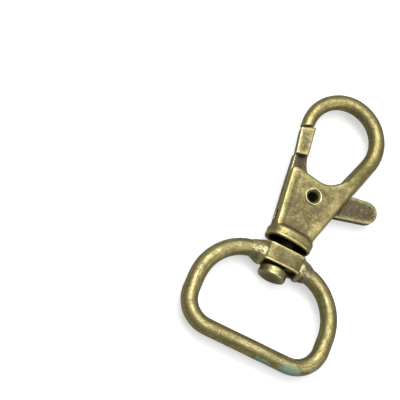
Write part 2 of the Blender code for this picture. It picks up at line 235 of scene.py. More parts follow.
def markRelief(piece, rounds=4, broadRounds=40, lift=None):
    # stores how sharply each point stands out (+) or sinks in (-), for wear and tarnish; the lift added to
    # the broad value can also carry painted shade
    mesh = piece.data
    count = len(mesh.vertices)
    places = np.empty(count * 3)
    facing = np.empty(count * 3)
    ends = np.empty(len(mesh.edges) * 2, np.int64)
    mesh.vertices.foreach_get("co", places)
    mesh.vertices.foreach_get("normal", facing)
    mesh.edges.foreach_get("vertices", ends)
    places, facing, ends = places.reshape(-1, 3), facing.reshape(-1, 3), ends.reshape(-1, 2).T
    gap = places[ends[1]] - places[ends[0]]
    bend = ((facing[ends[1]] - facing[ends[0]]) * gap).sum(1) / np.maximum((gap ** 2).sum(1), 1e-9)
    ties = np.bincount(ends[0], minlength=count) + np.bincount(ends[1], minlength=count)
    relief = (np.bincount(ends[0], bend, count) + np.bincount(ends[1], bend, count)) / np.maximum(ties, 1)
    relief = spread(relief, ends, rounds)
    broad = spread(relief, ends, broadRounds) + lift(places) if lift else spread(relief, ends, broadRounds)
    for label, values in (("relief", relief), ("rubAndShade", broad)):
        layer = mesh.attributes.new(label, "FLOAT", "POINT")
        layer.data.foreach_set("value", values.astype(np.float32))


def settle(piece, body, node, material):
    # millimetres to metres, one material, and its place in the frame
    pick(piece)
    piece.scale = (1 / metre,) * 3
    bpy.ops.object.transform_apply(location=True, rotation=True, scale=True)
    piece.data.materials.clear()
    piece.data.materials.append(material)
    bpy.ops.object.shade_smooth_by_angle(angle=math.radians(50))
    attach(piece, body)
    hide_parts(node)
    print("settled", piece.name, sum(len(face.vertices) - 2 for face in piece.data.polygons), "triangles")


# Finishes
def wire(tree, source, target):
    if isinstance(source, bpy.types.NodeSocket):
        tree.links.new(source, target)
    else:
        target.default_value = source


def mathNode(tree, operation, first, second=0.0, clamp=False):
    node = tree.nodes.new("ShaderNodeMath")
    node.operation = operation
    node.use_clamp = clamp
    wire(tree, first, node.inputs[0])
    wire(tree, second, node.inputs[1])
    return node.outputs[0]


def rangeNode(tree, value, low, high, toLow=0.0, toHigh=1.0):
    node = tree.nodes.new("ShaderNodeMapRange")
    node.interpolation_type = "SMOOTHSTEP"
    for name, source in (
        ("Value", value), ("From Min", low), ("From Max", high), ("To Min", toLow), ("To Max", toHigh),
    ):
        wire(tree, source, node.inputs[name])
    return node.outputs["Result"]


def noiseNode(tree, place, scale, detail=4.0, roughness=0.6, distortion=0.0):
    node = tree.nodes.new("ShaderNodeTexNoise")
    for name, source in (
        ("Vector", place), ("Scale", scale), ("Detail", detail), ("Roughness", roughness),
        ("Distortion", distortion),
    ):
        wire(tree, source, node.inputs[name])
    return node.outputs["Fac"]


def stretchNode(tree, place, scale, turn=(0.0, 0.0, 0.0)):
    node = tree.nodes.new("ShaderNodeMapping")
    wire(tree, place, node.inputs["Vector"])
    node.inputs["Scale"].default_value = scale
    node.inputs["Rotation"].default_value = turn
    return node.outputs["Vector"]


def mixColour(tree, share, first, second):
    node = tree.nodes.new("ShaderNodeMix")
    node.data_type = "RGBA"
    node.blend_type = "MIX"
    wire(tree, share, node.inputs[0])
    wire(tree, first, node.inputs[6])
    wire(tree, second, node.inputs[7])
    return node.outputs[2]


def makeGroup(name, inputs, outputs):
    group = bpy.data.node_groups.new(name, "ShaderNodeTree")
    for label, kind, value in inputs:
        socket = group.interface.new_socket(name=label, in_out="INPUT", socket_type=kind)
        if value is not None:
            socket.default_value = value
    for label, kind in outputs:
        group.interface.new_socket(name=label, in_out="OUTPUT", socket_type=kind)
    return group, group.nodes.new("NodeGroupInput"), group.nodes.new("NodeGroupOutput")


def makeAgedMetal():
    # brass darkened all over, then rubbed back: grain, cloudy tarnish, pits, scratches and bright edges, and
    # painted shade, near black, where the rub value is very low
    group, given, put = makeGroup(
        "agedMetal",
        [
            ("Place", "NodeSocketVector", None),
            ("Relief", "NodeSocketFloat", 0.0),
            ("Rub And Shade", "NodeSocketFloat", 0.0),
            ("Second Colour", "NodeSocketColor", (0.30, 0.28, 0.10, 1)),
            ("Body Colour", "NodeSocketColor", (0.36, 0.29, 0.12, 1)),
            ("Rubbed Colour", "NodeSocketColor", (0.72, 0.62, 0.32, 1)),
            ("Tarnish Colour", "NodeSocketColor", (0.09, 0.065, 0.03, 1)),
            ("Grain", "NodeSocketFloat", 2.6),
            ("Tarnish", "NodeSocketFloat", 0.5),
            ("Wear", "NodeSocketFloat", 0.5),
            ("Edge Start", "NodeSocketFloat", 0.45),
            ("Roughness", "NodeSocketFloat", 0.4),
        ],
        [
            ("Colour", "NodeSocketColor"), ("Roughness", "NodeSocketFloat"), ("Metal", "NodeSocketFloat"),
            ("Height", "NodeSocketFloat"),
        ],
    )
    inMillimetres = group.nodes.new("ShaderNodeVectorMath")
    inMillimetres.operation = "SCALE"
    inMillimetres.inputs["Scale"].default_value = metre
    wire(group, given.outputs["Place"], inMillimetres.inputs[0])
    place = inMillimetres.outputs[0]

    grain = noiseNode(group, place, given.outputs["Grain"], 5.0, 0.7)
    clouds = noiseNode(group, place, 0.42, 3.0, 0.6, 0.4)
    blotch = noiseNode(group, place, 1.15, 3.0, 0.55)
    mottled = mathNode(
        group, "ADD", mathNode(group, "MULTIPLY", grain, 0.7), mathNode(group, "MULTIPLY", blotch, 0.3),
    )
    shade = mathNode(
        group, "ADD", mathNode(group, "MULTIPLY", mottled, 0.7), mathNode(group, "MULTIPLY", clouds, 0.3),
    )

    # the rub value moves the tarnish: high values wear it back, low ones darken it, partly as painted shade
    rubAndShadeShift = mathNode(group, "MULTIPLY", mathNode(group, "SUBTRACT", given.outputs["Rub And Shade"], 0.22), 0.22)
    shade = mathNode(group, "ADD", shade, mathNode(group, "MINIMUM", rubAndShadeShift, 0.09))
    tarnishFrom = mathNode(group, "MULTIPLY_ADD", given.outputs["Tarnish"], 0.24)
    group.nodes[-1].inputs[2].default_value = 0.34
    tarnished = rangeNode(
        group, shade, mathNode(group, "ADD", tarnishFrom, 0.15),
        mathNode(group, "SUBTRACT", tarnishFrom, 0.13),
    )

    pits = group.nodes.new("ShaderNodeTexVoronoi")
    wire(group, place, pits.inputs["Vector"])
    pits.inputs["Scale"].default_value = 1.5
    pitHere = rangeNode(group, noiseNode(group, place, 0.9, 1.0), 0.5, 0.62)
    pitDepth = mathNode(group, "MULTIPLY", rangeNode(group, pits.outputs["Distance"], 0.16, 0.05), pitHere)

    scratchA = noiseNode(group, stretchNode(group, place, (0.25, 9.0, 1.0), (0.0, 0.0, 0.55)), 1.0, 2.0, 0.5)
    scratchB = noiseNode(group, stretchNode(group, place, (7.0, 0.3, 1.0), (0.0, 0.0, 0.35)), 1.0, 2.0, 0.5)
    scratches = mathNode(
        group, "MAXIMUM", rangeNode(group, scratchA, 0.69, 0.74), rangeNode(group, scratchB, 0.69, 0.74),
    )

    edgeNoise = mathNode(group, "MULTIPLY", mathNode(group, "SUBTRACT", mottled, 0.5), 1.6)
    edgeValue = mathNode(group, "ADD", given.outputs["Relief"], edgeNoise)
    edge = rangeNode(
        group, edgeValue, given.outputs["Edge Start"],
        mathNode(group, "ADD", given.outputs["Edge Start"], 1.3),
    )
    rubbed = mathNode(group, "MULTIPLY", rangeNode(group, shade, 0.5, 0.68), given.outputs["Wear"])
    bright = mathNode(group, "MAXIMUM", edge, rubbed)
    bright = mathNode(group, "MAXIMUM", bright, mathNode(group, "MULTIPLY", scratches, 0.55))
    flecks = mathNode(
        group, "MULTIPLY", rangeNode(group, noiseNode(group, place, 3.0, 0.0), 0.74, 0.79), pitHere,
    )
    bright = mathNode(group, "MAXIMUM", bright, mathNode(group, "MULTIPLY", flecks, 0.55))
    hollow = rangeNode(group, given.outputs["Relief"], -0.12, -0.9)

    body = mixColour(
        group, rangeNode(group, noiseNode(group, place, 0.8, 3.0), 0.42, 0.6), given.outputs["Body Colour"],
        given.outputs["Second Colour"],
    )
    colour = mixColour(group, tarnished, body, given.outputs["Tarnish Colour"])
    colour = mixColour(group, bright, colour, given.outputs["Rubbed Colour"])
    # painted shade: a very low rub value mixes the colour towards near black and makes it rougher, standing
    # in for the shadow in hidden places
    paintedShadeMix = rangeNode(group, given.outputs["Rub And Shade"], -0.55, -1.3)
    dark = mathNode(
        group, "MAXIMUM", mathNode(group, "MULTIPLY", hollow, 0.85),
        mathNode(group, "MULTIPLY", pitDepth, 0.8),
    )
    colour = mixColour(group, dark, colour, given.outputs["Tarnish Colour"])
    colour = mixColour(group, mathNode(group, "MULTIPLY", paintedShadeMix, 0.88), colour, (0.006, 0.0045, 0.003, 1))
    wire(group, colour, put.inputs["Colour"])

    rough = mathNode(group, "ADD", given.outputs["Roughness"], mathNode(group, "MULTIPLY", tarnished, 0.12))
    rough = mathNode(group, "SUBTRACT", rough, mathNode(group, "MULTIPLY", bright, 0.1))
    rough = mathNode(group, "ADD", rough, mathNode(group, "MULTIPLY", paintedShadeMix, 0.3))
    wire(
        group, mathNode(group, "ADD", rough, mathNode(group, "MULTIPLY", dark, 0.15), True),
        put.inputs["Roughness"],
    )
    metal = mathNode(
        group, "SUBTRACT", 1.0,
        mathNode(group, "MULTIPLY", mathNode(group, "MAXIMUM", tarnished, dark), 0.25),
    )
    wire(group, metal, put.inputs["Metal"])
    height = mathNode(group, "SUBTRACT", mathNode(group, "MULTIPLY", grain, 0.5), pitDepth)
    height = mathNode(group, "ADD", height, mathNode(group, "MULTIPLY", blotch, 0.6))
    height = mathNode(group, "SUBTRACT", height, mathNode(group, "MULTIPLY", scratches, 0.15))
    wire(group, height, put.inputs["Height"])
    return group


agedMetal = makeAgedMetal()


bumpHeight = 0.00006  # metres


def metalMaterial(name, look, along=None):
    material = bpy.data.materials.new(name)
    material.use_nodes = True
    tree = material.node_tree
    shader = tree.nodes["Principled BSDF"]
    metal = tree.nodes.new("ShaderNodeGroup")
    metal.node_tree = agedMetal
    coordinates = tree.nodes.new("ShaderNodeTexCoord")
    relief = tree.nodes.new("ShaderNodeAttribute")
    relief.attribute_name = "relief"
    wire(tree, coordinates.outputs["Object"], metal.inputs["Place"])
    # the rub value carries wear and, where very low, painted shade
    rubAndShade = tree.nodes.new("ShaderNodeAttribute")
    rubAndShade.attribute_name = "rubAndShade"
    wire(tree, relief.outputs["Fac"], metal.inputs["Relief"])
    wire(tree, rubAndShade.outputs["Fac"], metal.inputs["Rub And Shade"])
    for label, value in look["group"].items():
        metal.inputs[label].default_value = (*value, 1) if isinstance(value, tuple) else value
    colour = metal.outputs["Colour"]
    rough = metal.outputs["Roughness"]
    height = metal.outputs["Height"]
    if along:  # drawn lines that follow the wire
        path = tree.nodes.new("ShaderNodeAttribute")
        path.attribute_name = along
        lines = noiseNode(tree, stretchNode(tree, path.outputs["Vector"], (0.22, 4.2, 4.2)), 1.0, 4.0, 0.65)
        lighter = rangeNode(tree, lines, 0.52, 0.68, 0.0, look["lineStrength"])
        darker = rangeNode(tree, lines, 0.46, 0.33, 0.0, look["lineStrength"])
        colour = mixColour(tree, lighter, colour, (*look["group"]["Rubbed Colour"], 1))
        colour = mixColour(tree, darker, colour, (*look["group"]["Tarnish Colour"], 1))
        height = mathNode(tree, "ADD", height, mathNode(tree, "MULTIPLY", lines, 0.5))
    wire(tree, colour, shader.inputs["Base Color"])
    wire(tree, rough, shader.inputs["Roughness"])
    wire(tree, metal.outputs["Metal"], shader.inputs["Metallic"])
    bump = tree.nodes.new("ShaderNodeBump")
    bump.inputs["Strength"].default_value = look["bump"]
    bump.inputs["Distance"].default_value = bumpHeight
    wire(tree, height, bump.inputs["Height"])
    wire(tree, bump.outputs["Normal"], shader.inputs["Normal"])
    return material


castLook = {
    "group": {
        "Body Colour": (0.33, 0.275, 0.115), "Second Colour": (0.29, 0.265, 0.10),
        "Rubbed Colour": (0.53, 0.48, 0.245), "Tarnish Colour": (0.11, 0.088, 0.04), "Grain": 3.4,
        "Tarnish": 0.5, "Wear": 0.32, "Edge Start": 0.6, "Roughness": 0.43,
    },
    "bump": 0.75,
}
leverLook = {
    "group": {
        "Body Colour": (0.30, 0.25, 0.11), "Second Colour": (0.25, 0.225, 0.09),
        "Rubbed Colour": (0.53, 0.48, 0.26), "Tarnish Colour": (0.07, 0.056, 0.03), "Grain": 3.8,
        "Tarnish": 0.6, "Wear": 0.4, "Edge Start": 0.6, "Roughness": 0.42,
    },
    "bump": 0.6,
}
wireLook = {
    "group": {
        "Body Colour": (0.34, 0.285, 0.125), "Second Colour": (0.30, 0.275, 0.105),
        "Rubbed Colour": (0.54, 0.49, 0.255), "Tarnish Colour": (0.10, 0.08, 0.036), "Grain": 3.0,
        "Tarnish": 0.52, "Wear": 0.35, "Edge Start": 0.9, "Roughness": 0.42,
    },
    "bump": 0.6,
    "lineStrength": 0.62,
}
rivetLook = {
    "group": {
        "Body Colour": (0.32, 0.27, 0.115), "Second Colour": (0.29, 0.26, 0.10),
        "Rubbed Colour": (0.62, 0.57, 0.32), "Tarnish Colour": (0.085, 0.068, 0.035), "Grain": 3.0,
        "Tarnish": 0.45, "Wear": 0.5, "Edge Start": 0.8, "Roughness": 0.4,
    },
    "bump": 0.45,
}
weldLook = {
    "group": {
        "Body Colour": (0.38, 0.345, 0.18), "Second Colour": (0.31, 0.28, 0.125),
        "Rubbed Colour": (0.52, 0.50, 0.35), "Tarnish Colour": (0.08, 0.06, 0.032), "Grain": 2.4,
        "Tarnish": 0.5, "Wear": 0.4, "Edge Start": 1.6, "Roughness": 0.42,
    },
    "bump": 0.8,
}
steelLook = {
    "group": {
        "Body Colour": (0.32, 0.31, 0.29), "Second Colour": (0.26, 0.25, 0.24),
        "Rubbed Colour": (0.6, 0.59, 0.56), "Tarnish Colour": (0.07, 0.06, 0.05), "Grain": 6.0,
        "Tarnish": 0.35, "Wear": 0.5, "Edge Start": 3.0, "Roughness": 0.35,
    },
    "bump": 0.3,
}
castBrass = metalMaterial("castBrass", castLook)
leverBrass = metalMaterial("leverBrass", leverLook)
wireBrass = metalMaterial("wireBrass", wireLook, "wirePath")
eyeBrass = metalMaterial("eyeBrass", castLook)
rivetBrass = metalMaterial("rivetBrass", rivetLook)
weldBrass = metalMaterial("weldBrass", weldLook)
springSteel = metalMaterial("springSteel", steelLook)
print("finishes ready")


# Hook: cheeks, rims, round arm, collar
hook = {
    "bightCentre": (0.2, 14.3), "bightRadius": 4.7,
    "crownCentre": (0.9, 21.33), "crownRadius": 5.95,
    "armRadius": 1.67,
    "rimDepth": 2.5,  # half thickness over the rims
    "dishDepth": 0.17,
    "dish": [(-3.25, -2.2), (2.2, -2.2), (4.5, 7.4), (4.2, 8.6), (0.0, 8.3), (-3.4, 8.8), (-4.7, 8.6)],
    "neckLeft": -4.6, "neckRight": 3.7, "neckY": -2.4,
    "leftTop": (-6.4, 10.4), "rightTop": (7.4, 12.8), "cornerRadius": 0.95,
    "rimReach": 1.5, "innerRidge": 1.0, "crestRidge": 1.45,
    "rimFoot": (2.98, -1.6), "rimFootRadius": 0.85, "shoulderRadius": 1.2,
    "coarseGrain": 0.19, "collarGrain": 0.15, "fineGrain": 0.13, "softening": 18,
    "faceDarkening": 0.27, "faceDarkWidth": 2.9, "faceDarkHeight": 3.2,
    "shoulderSwell": 0.46, "bightLip": 0.32, "backInset": 0.4,
    "slotHalf": 1.2, "slotFloor": -1.3, "slotTop": 11.4,
    "noseRadius": 14.98,  # from the rivet to the arm's end
    "rivetHole": 1.24, "pinHole": 1.34, "tailRoom": 2.0,
    "taperAt": (0.0, 0.55, 0.9, 1.0), "taperTo": (1.67, 1.67, 1.42, 1.38),  # the arm thins towards the nose
    "collarNarrow": 0.975, "collarShift": 0.2,
    "flash": 0.05, "flashHalf": 0.12,
}


def loopSides():
    # directions, in degrees, square to the two straight sides of the loop
    run = Vector(hook["crownCentre"]) - Vector(hook["bightCentre"])
    along = math.degrees(math.atan2(run.y, run.x))
    flare = math.degrees(math.asin((hook["crownRadius"] - hook["bightRadius"]) / run.length))
    return along - 90 - flare, along + 90 + flare


def loopPoint(angle, offset=0.0, inBight=False):
    centre = hook["bightCentre"] if inBight else hook["crownCentre"]
    radius = (hook["bightRadius"] if inBight else hook["crownRadius"]) + offset
    turn = math.radians(angle)
    return centre[0] + radius * math.cos(turn), centre[1] + radius * math.sin(turn)


def arc(centre, radius, start, end, count):
    turns = np.radians(np.linspace(start, end, count))
    return [(centre[0] + radius * math.cos(a), centre[1] + radius * math.sin(a)) for a in turns]


def between(start, end, shares):
    return [tuple(a + (b - a) * share for a, b in zip(start, end)) for share in shares]


def easeIn(share):
    return share * share * (3 - 2 * share)


rightSide, leftSide = loopSides()
armRadius = hook["armRadius"]


def armPath():
    shoulder = loopPoint(rightSide, armRadius, True)
    crownStart = loopPoint(rightSide, armRadius)
    noseStart = loopPoint(leftSide, armRadius)
    gateSide = loopPoint(leftSide, armRadius, True)
    path = between(shoulder, crownStart, np.linspace(-0.25, 1, 14)[:-1])
    path += [loopPoint(angle, armRadius) for angle in np.linspace(rightSide, leftSide, 72)]
    path += between(noseStart, gateSide, np.linspace(0, 0.5, 8)[1:])
    return [(x, y, 0.0) for x, y in path]


def rightRim(side):
    # from the collar up the cheek's edge, growing until it runs into the arm
    rows = []
    foot = hook["rimFoot"]
    outer = armRadius + hook["rimReach"]
    shoulder = loopPoint(rightSide, outer - hook["shoulderRadius"], True)
    for share in np.linspace(0, 1, 12)[:-1]:
        radius = hook["rimFootRadius"] + (hook["shoulderRadius"] - hook["rimFootRadius"]) * share
        x, y = between(foot, shoulder, [share])[0]
        rows.append((x, y, hook["rimDepth"] - radius, radius))
    for share in np.linspace(0, 1, 14):
        grown = easeIn(share)
        radius = hook["shoulderRadius"] + (armRadius - hook["shoulderRadius"]) * grown
        top = hook["rimDepth"] + (armRadius - hook["rimDepth"]) * grown
        offset = outer - hook["shoulderRadius"] + (armRadius - outer + hook["shoulderRadius"]) * grown
        x, y = between(loopPoint(rightSide, offset, True), loopPoint(rightSide, offset), [share])[0]
        rows.append((x, y, top - radius, radius))
    name = "rightRimFront" if side > 0 else "rightRimBack"
    return bentBar(name, [(x, y, side * z) for x, y, z, _ in rows], [row[3] for row in rows])


def shoulderRidge(side, inner):
    # fills the step between the cheek's end and the arm, on its crest or along the bight
    slim = hook["innerRidge"] if inner else hook["crestRidge"]
    rows = []
    for share in np.linspace(0, 1, 14):
        grown = easeIn(share)
        top = hook["rimDepth"] - 0.03 + (armRadius - hook["rimDepth"]) * grown
        radius = slim + (armRadius - slim) * grown
        offset = radius + 0.02 if inner else armRadius
        x, y = between(loopPoint(rightSide, offset, True), loopPoint(rightSide, offset), [share])[0]
        rows.append((x, y, top - radius, radius))
    if inner:
        alongBight = np.linspace(-70, rightSide, 10)[:-1]
        height = hook["rimDepth"] - slim - 0.03
        rows = [(*loopPoint(angle, slim + 0.02, True), height, slim) for angle in alongBight] + rows
    return bentBar("shoulderRidge", [(x, y, side * z) for x, y, z, _ in rows], [row[3] for row in rows])


def dish(side):
    # the worn faces sink a little between their edges
    low = side * (hook["rimDepth"] - hook["dishDepth"])
    return slab("dish", hook["dish"], min(low, low + side), max(low, low + side))


def cheekOutline():
    corner = (hook["leftTop"][0] + 1.0, hook["leftTop"][1] - 0.95)
    outline = [(hook["neckLeft"], hook["neckY"]), (hook["neckRight"], hook["neckY"]), hook["rightTop"]]
    for angle in np.linspace(rightSide, -98, 20):
        outline.append(loopPoint(angle, -hook["bightLip"] * min((rightSide - angle) / 25, 1.0), True))
    return outline + arc(corner, hook["cornerRadius"], 80, 172, 8)


def flashFin():
    # the thin ridge left where the two halves of the mould met
    outline = [loopPoint(angle, 2 * armRadius + hook["flash"]) for angle in np.linspace(rightSide, 70, 40)]
    outline += [loopPoint(angle, armRadius) for angle in np.linspace(75, rightSide, 40)]
    outline += [
        loopPoint(rightSide, armRadius, True), loopPoint(rightSide, 2 * armRadius + hook["flash"], True),
    ]
    return slab("flashFin", outline, -hook["flashHalf"], hook["flashHalf"])


collarRows = [
    # height, half width, half depth
    (-1.85, 4.0, 2.6), (-1.95, 4.4, 2.98), (-2.1, 4.62, 3.17), (-2.4, 4.8, 3.35),
    (-2.8, 4.85, 3.4), (-3.2, 4.83, 3.37), (-3.42, 4.76, 3.3), (-3.52, 4.72, 3.26),
    (-3.64, 4.78, 3.32), (-3.9, 4.85, 3.4), (-4.2, 4.82, 3.36), (-4.35, 4.66, 3.2),
]
collarSquareness = 2.8
cupSquareness = 2.6
cupMouth = (4.3, 2.85)  # half width and half depth, a little over the cup's own
cupRows = [(-5.5, 4.1, 2.65), (-4.2, 4.1, 2.65), (-3.2, 3.95, 2.5), (-2.95, 3.6, 2.15)]
# painted shade: a rub value low enough to turn a place near black, standing in for the shadow in hidden
# recesses
paintedShadeRub = -1.6  # low enough to look black


def hookRubWithShade(places):
    # painted shade: the cup's inside and the slot's walls are set near black, as the shadow in them; the
    # faces are made a little darker towards their middle than at their edges
    x, y, z = (places - np.array(at(0, 0))).T
    wide, deep = cupMouth
    inCup = (y < -2.6) & (np.abs(x / wide) ** cupSquareness + np.abs(z / deep) ** cupSquareness < 1)
    alongSlot = (y > hook["slotFloor"] - 0.1) & (y < hook["slotTop"]) & (np.abs(x) < 9)
    inSlot = alongSlot & (np.abs(z) < hook["slotHalf"] + 0.17)
    onFace = (np.abs(z) > 2.0) & (y > -1.8)
    # the faces are made a little darker towards their middle
    across = (x - 0.08 * (y - 3)) / hook["faceDarkWidth"]
    up = np.maximum(y - 6, 0) / hook["faceDarkHeight"]
    faceDarker = -hook["faceDarkening"] * np.exp(-across ** 2 - up ** 2)
    return np.where(inCup | inSlot, paintedShadeRub, np.where(onFace, faceDarker, 0.0))


def makeHook():
    cheeks = slab("castHook", cheekOutline(), -hook["rimDepth"], hook["rimDepth"], 0.3)
    # the back cheek is a little narrower on the gate's side
    for corner in cheeks.data.vertices:
        if corner.co.z < at(0, 0, -0.5).z and corner.co.x < at(-1.0, 0).x:
            corner.co.x += hook["backInset"]
    path = armPath()
    thin = np.interp(np.linspace(0, 1, len(path)), hook["taperAt"], hook["taperTo"])
    arm = bentBar("arm", path, thin, 10)
    # the round arm deepens to nearly the cheeks' thickness at the shoulder
    shoulder = np.array(at(*path[3])[:2])
    run = np.array(at(*path[13])[:2]) - shoulder
    middle = at(0, 0).z
    for corner in arm.data.vertices:
        share = float(np.dot(np.array(corner.co[:2]) - shoulder, run) / np.dot(run, run))
        if share < 1 and corner.co.x > at(3, 0).x:
            swell = 1 + hook["shoulderSwell"] * (1 - easeIn(max(share, 0.0)))
            corner.co.z = middle + (corner.co.z - middle) * swell
    parts = [arm]
    for side in (1, -1):
        parts += [rightRim(side), shoulderRidge(side, True), shoulderRidge(side, False)]
    collar = turned("collar", collarRows, 64, collarSquareness)
    for corner in collar.data.vertices:
        corner.co.x = at(0, 0).x + (corner.co.x - at(0, 0).x) * hook["collarNarrow"] - hook["collarShift"]
    parts += [flashFin()]
    body = joinAll(cheeks, parts)
    melt(body, hook["coarseGrain"], 2)
    for side in (1, -1):
        cut(body, dish(side))
    melt(body, hook["coarseGrain"], hook["softening"])
    body = joinAll(body, [collar])
    melt(body, hook["collarGrain"], 3)
    cut(body, turned("cup", cupRows, 48, cupSquareness))
    half = hook["slotHalf"]
    floor = hook["slotFloor"]
    slot = [(-12, floor), (12, floor), (12, 11.5), (3.2, 11.5)] + arc(pivot, hook["noseRadius"], 100, 125, 8)
    cut(body, slab("slot", slot, -half, half))
    nose = arc(pivot, hook["noseRadius"], 108, 135, 16) + [(-10.5, 13.0), (-7.2, 12.5), (-4.0, 14.0)]
    cut(body, slab("noseCut", nose, -4, 4))
    cut(body, turned("rivetBore", [(z, hook["rivetHole"], hook["rivetHole"]) for z in (-4, 4)], 48, 2, "Z"))
    cut(body, turned("pinBore", [(y, hook["pinHole"], hook["pinHole"]) for y in (-5, 0)], 48))
    cut(body, turned("tailRoom", [(y, hook["tailRoom"], hook["tailRoom"]) for y in (floor - 0.001, 0)], 48))
    melt(body, hook["fineGrain"], 5)
    roughenShape(body, 2.2, 0.05)
    # the lift paints shade into the cup and slot and darkens the middle of the faces
    markRelief(body, lift=hookRubWithShade)
    settle(body, "hook", "hook_body", castBrass)


makeHook()


# Gate lever: head, web between the cheeks, thumb tab
gate = {
    "half": 1.0, "headHalf": 1.55, "headBack": 1.1, "headChamfer": 0.38,
    "headOuter": (-7.98, 18.5), "headInner": (-5.1, 19.95),
    "heelOuter": (-6.72, 12.9), "heelInner": (-4.1, 13.8),
    "tabTip": (11.6, 9.68), "tabRadius": 2.3, "tabTop": (7.2, 11.0), "tabBottom": (5.0, 5.0),
    "hole": 1.26, "pocket": 2.2, "pocketDepth": 1.42,
    "grain": 0.12, "fineGrain": 0.115,
    # how rubbed each stretch is, with painted shade on the web, and where it starts
    "headRub": 0.12, "tabRub": -0.33, "webPatinaAndShadeRub": -0.75, "hiddenShadeRub": -0.95, "edgeRub": 0.1,
    "tabFrom": 6.6, "openFrom": 9.8, "edgeFoot": (-4.75, 1.4), "edgeSlope": 0.148, "headSlope": 0.34,
}


def leverRubAndShade(places):
    # the head and the outer edge get handled, the tab less; the web is darker, partly as less rubbed patina
    # and partly as painted shade where it lies recessed, and near black as painted shade where it is hidden
    # between the cheeks
    x, y, z = (places - np.array(at(0, 0))).T
    edgeLine = gate["edgeFoot"][0] + (gate["edgeFoot"][1] - y) * gate["edgeSlope"]
    atEdge = np.clip((edgeLine - x) / 0.3 + 0.5, 0, 1) * np.clip((gate["half"] - np.abs(z)) / 0.2, 0, 1)
    web = np.where(y > gate["openFrom"], gate["webPatinaAndShadeRub"], gate["hiddenShadeRub"])
    web = web + (gate["edgeRub"] - web) * atEdge
    headLine = gate["heelOuter"][1] - 0.12 + (x - gate["heelOuter"][0]) * gate["headSlope"]
    return np.where(y > headLine, gate["headRub"], np.where(x > gate["tabFrom"], gate["tabRub"], web))


def makeGate():
    half = gate["half"]
    tabEnd = arc(gate["tabTip"], gate["tabRadius"], -72, 104, 24)
    web = [gate["heelOuter"], (-5.0, 1.4), (-3.8, 1.1), (-2.3, 3.3), (0.6, 3.2), gate["tabBottom"]]
    web += tabEnd
    web += [
        gate["tabTop"], (3.2, 9.5), (0.0, 9.4), (-2.4, 10.3), (-3.4, 11.8), gate["heelInner"], (-5.4, 15.0),
    ]
    lever = slab("triggerGate", web, -half, half, 0.22)
    headOutline = [gate["headOuter"], gate["heelOuter"], gate["heelInner"], gate["headInner"]]
    head = slab("head", headOutline, -gate["headBack"], gate["headHalf"], 0.2, 2)
    for corner in head.data.vertices:  # the back of the head is chamfered on its outer side
        if corner.co.z < at(0, 0).z and corner.co.x < at(-6.0, 0).x:
            corner.co.x += gate["headChamfer"]
    lever = joinAll(lever, [head])
    melt(lever, gate["grain"], 2)
    cut(lever, turned("hole", [(z, gate["hole"], gate["hole"]) for z in (-3, 3)], 48, 2, "Z"))
    pocketTop = gate["pocketDepth"] - half
    cut(lever, turned("pocket", [(z, gate["pocket"], gate["pocket"]) for z in (-3, pocketTop)], 48, 2, "Z"))
    cut(lever, slab("notch", [(-2.1, 6.2), (-3.3, 0.0), (1.8, 0.0), (2.0, 5.0)], -3, pocketTop))
    melt(lever, gate["fineGrain"], 1)
    roughenShape(lever, 1.6, 0.045)
    markRelief(lever, lift=leverRubAndShade)
    settle(lever, "gate", "gate_lever", leverBrass)


makeGate()


# Torsion spring round the rivet
spring = {"wire": 0.2, "radius": 1.7, "turns": 2.0, "pitch": 0.43, "steps": 48}


def makeSpring():
    start = -gate["half"] + spring["wire"] + 0.05
    footX = pivot[0] - spring["radius"]
    path = [(footX + 0.2, hook["slotFloor"] + 1.3, start)]
    path += between((footX, 3.0, start), (footX, 6.0, start), np.linspace(0, 1, 4))
    for i in range(int(spring["turns"] * spring["steps"]) + 1):
        turn = math.pi - i * 2 * math.pi / spring["steps"]
        lift = spring["pitch"] * i / spring["steps"]
        path.append(
            (
                pivot[0] + spring["radius"] * math.cos(turn), pivot[1] + spring["radius"] * math.sin(turn),
                start + lift,
            )
        )
    coil = bentBar("gateSpring", path, [spring["wire"]] * len(path), 5)
    markRelief(coil, 0)
    settle(coil, "hook", "gate_spring", springSteel)


makeSpring()


# Tube rivet with a rolled lip at each end
rivet = {"radius": 1.2, "bore": 0.96, "lip": 1.75, "face": 2.3, "lipHeight": 0.4}


def makeRivet():
    top = rivet["face"] + rivet["lipHeight"]
    face, lip, bore = rivet["face"], rivet["lip"], rivet["bore"]
    half = [
        (bore, 0.0), (bore, 1.2), (bore, face - 0.35), (bore + 0.06, face - 0.12), (bore + 0.2, face + 0.08),
        (bore + 0.4, face + 0.24), (lip - 0.24, top - 0.06), (lip - 0.13, top), (lip - 0.02, top - 0.05),
        (lip + 0.03, top - 0.18),
        (lip, face + 0.08), (lip - 0.08, face), (rivet["radius"], face), (rivet["radius"], 1.2),
    ]
    profile = half + [(radius, -height) for radius, height in reversed(half[1:])]
    tube = spunRing("pivotRivet", profile, 96)
    applyModifier(tube, "finer", "SUBSURF", levels=2, render_levels=2)
    roughenShape(tube, 0.9, 0.03)
    markRelief(tube)
    settle(tube, "hook", "pivot_rivet", rivetBrass)


makeRivet()


# Swivel pin: button head below the eye, shank, tail inside the cheeks
pin = {
    "lean": 0.35, "head": 2.78, "headLow": -11.92, "headTop": -10.0,
    "shank": 1.3, "tail": 1.9, "tailHeight": 0.9,
}


